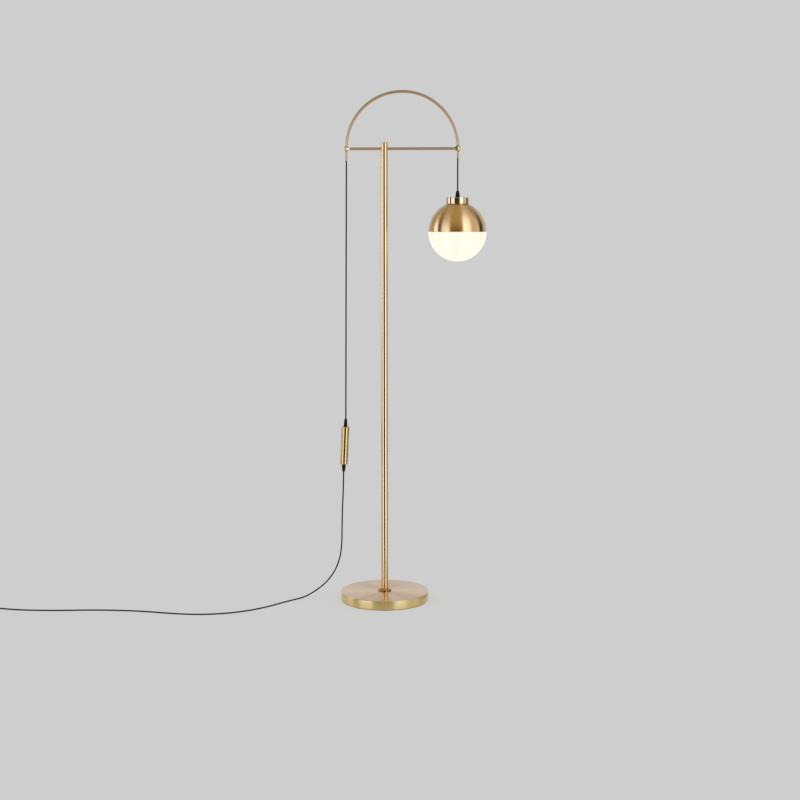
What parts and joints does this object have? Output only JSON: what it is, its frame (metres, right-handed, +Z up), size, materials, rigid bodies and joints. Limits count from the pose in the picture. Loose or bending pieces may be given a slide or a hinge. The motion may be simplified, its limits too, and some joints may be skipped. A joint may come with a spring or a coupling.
{
  "type": "globe floor lamp",
  "caption": "Floor lamp: round weighted base, straight pole, crossbar and half-round arch carrying a globe pendant on a cord, balanced by a cylindrical weight.",
  "frame": {"origin": "centre of the underside of the base pad, where the lamp stands on the floor", "axes": "+Z up along the pole; +X from the pole towards the hanging globe; the lamp is looked at from -Y"},
  "size_m": [1.687, 0.3692, 1.6076],
  "materials": {
    "satin_brass": "satin brushed, clear lacquered",
    "polished_brass": "polished",
    "opal_glass": "opal, satin outside, lit warm white",
    "bulb_glass": "frosted",
    "black_plastic": "fine matt moulding",
    "button_plastic": "smooth gloss",
    "cord_sheath": "dark grey sheath, slight sheen",
    "steel": "zinc plated",
    "cast_iron": "raw casting",
    "felt": "self-adhesive felt",
    "ivory_plastic": "smooth",
    "holder_plastic": "thermoset moulding"
  },
  "bodies": {
    "stand": {"base_pad": "felt", "base_weight": "cast_iron", "base_cover": "satin_brass", "base_washer": "steel", "base_nut": "steel", "pole_stud": "steel", "pole_flange": "satin_brass", "pole_tube": "satin_brass", "pole_foot_insert": "steel", "pole_top_insert": "steel", "bar_grub_screw": "steel", "pole_cap": "satin_brass", "crossbar": "satin_brass", "arch_tube": "satin_brass", "knob_left": "polished_brass", "knob_right": "polished_brass", "knob_grub_screws": "steel", "outlet_tube_left": "satin_brass", "outlet_tube_right": "satin_brass", "outlet_bush_left": "ivory_plastic", "arch_cord": "cord_sheath", "left_cord": "cord_sheath", "supply_cord_hanging": "cord_sheath", "supply_cord_floor": "cord_sheath", "supply_cord_tail": "cord_sheath", "cord_coil": "cord_sheath", "coil_tie": "black_plastic", "plug_relief": "black_plastic", "plug_body": "black_plastic", "plug_pins": "steel", "switch_base": "black_plastic", "switch_cover": "black_plastic"},
    "swivel": {"outlet_bush_right": "ivory_plastic"},
    "hanger": {"pendant_cord": "cord_sheath"},
    "pendant": {"pendant_gland": "black_plastic", "shade_collar": "satin_brass", "shade_nipple": "steel", "shade_spacer": "steel", "shade_dome": "satin_brass", "shade_nut": "steel", "glass_bowl": "opal_glass", "bowl_ring": "steel", "lampholder_cap": "holder_plastic", "lampholder_body": "holder_plastic", "bulb_cap": "steel", "bulb_envelope": "bulb_glass", "pendant_inner_cord": "cord_sheath"},
    "counterweight": {"weight_tube": "polished_brass", "weight_cap_bottom": "polished_brass", "weight_cap_top": "polished_brass", "weight_core": "steel", "weight_clamp_screw": "steel", "weight_gland_top": "black_plastic", "weight_gland_bottom": "black_plastic", "weight_cord": "cord_sheath"},
    "foot_button": {"switch_button": "button_plastic"}
  },
  "joints": [
    {"name": "pendant_twist", "type": "hinge", "parent": "stand", "child": "swivel", "pos_m": [0.228, 0, 1.4], "axis": [0, 0, 1], "range_deg": [-180, 180]},
    {"name": "pendant_swing", "type": "hinge", "parent": "swivel", "child": "hanger", "pos_m": [0.228, 0, 1.4], "axis": [0, 1, 0], "range_deg": [-10, 10]},
    {"name": "pendant_height", "type": "slide", "parent": "hanger", "child": "pendant", "axis": [0, 0, -1], "range_m": [-0.05, 0.4], "deforming": ["pendant_cord"]},
    {"name": "weight_height", "type": "slide", "parent": "stand", "child": "counterweight", "axis": [0, 0, 1], "range_m": [-0.05, 0.4], "deforming": ["left_cord", "supply_cord_hanging"]},
    {"name": "foot_button", "type": "slide", "parent": "stand", "child": "foot_button", "axis": [0, 0, -1], "range_m": [0, 0.003], "stiffness_N_per_m": 700, "springref_m": -0.003}
  ],
  "couplings": [
    {"joint": "weight_height", "follows": "pendant_height", "ratio": 1}
  ]
}
